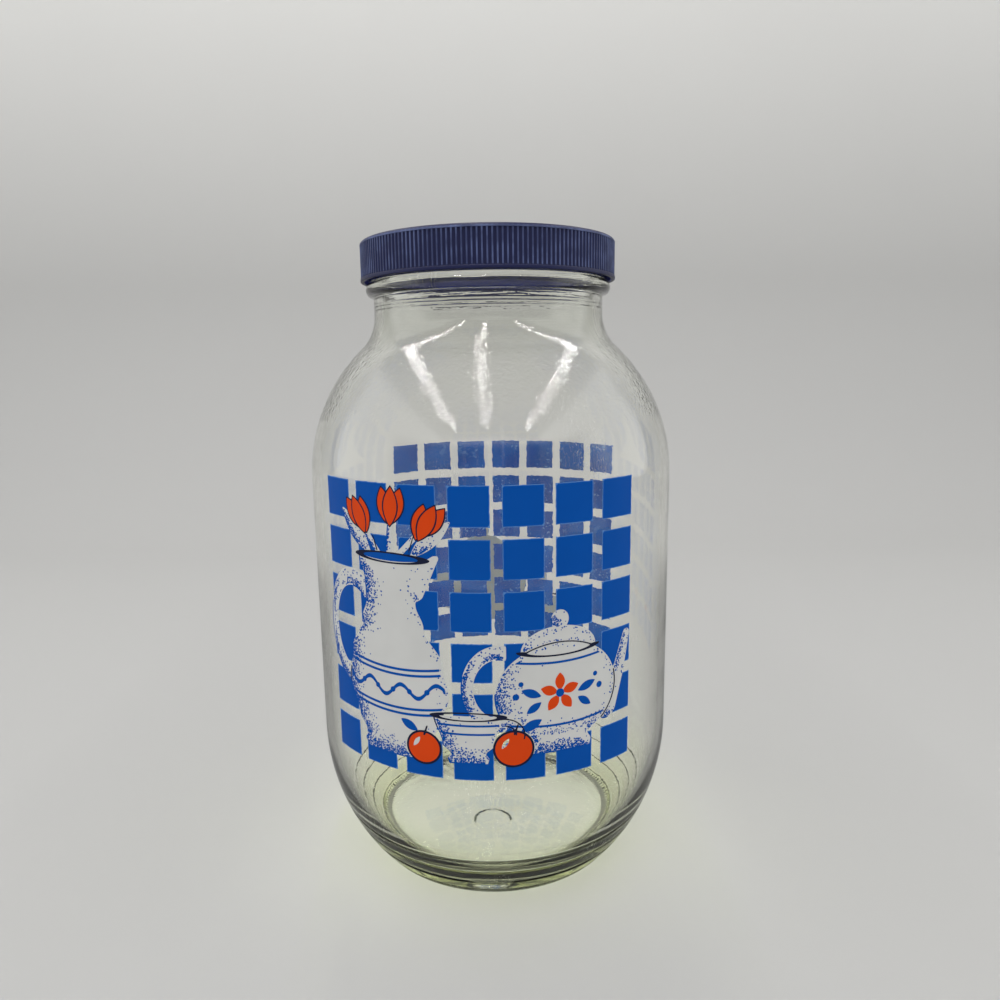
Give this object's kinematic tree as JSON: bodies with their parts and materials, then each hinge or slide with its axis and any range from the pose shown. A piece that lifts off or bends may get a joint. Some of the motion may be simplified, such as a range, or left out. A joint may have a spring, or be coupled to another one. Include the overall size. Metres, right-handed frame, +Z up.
{
  "type": "glass storage jar with screw cap",
  "caption": "Wide-mouth glass storage jar with rounded shoulder, ringed heel and short neck, closed by a ribbed plastic screw cap.",
  "frame": {"origin": "middle of the base, on the surface the jar stands on", "axes": "+Z up along the axis of the jar, -Y towards the middle of the front print"},
  "size_m": [0.162, 0.162, 0.2759],
  "materials": {
    "glass": "clear, faintly green where thick",
    "cap_plastic": "satin dark blue"
  },
  "bodies": {
    "root": {"glass_jar": "glass", "screw_cap": "cap_plastic"}
  },
  "joints": []
}
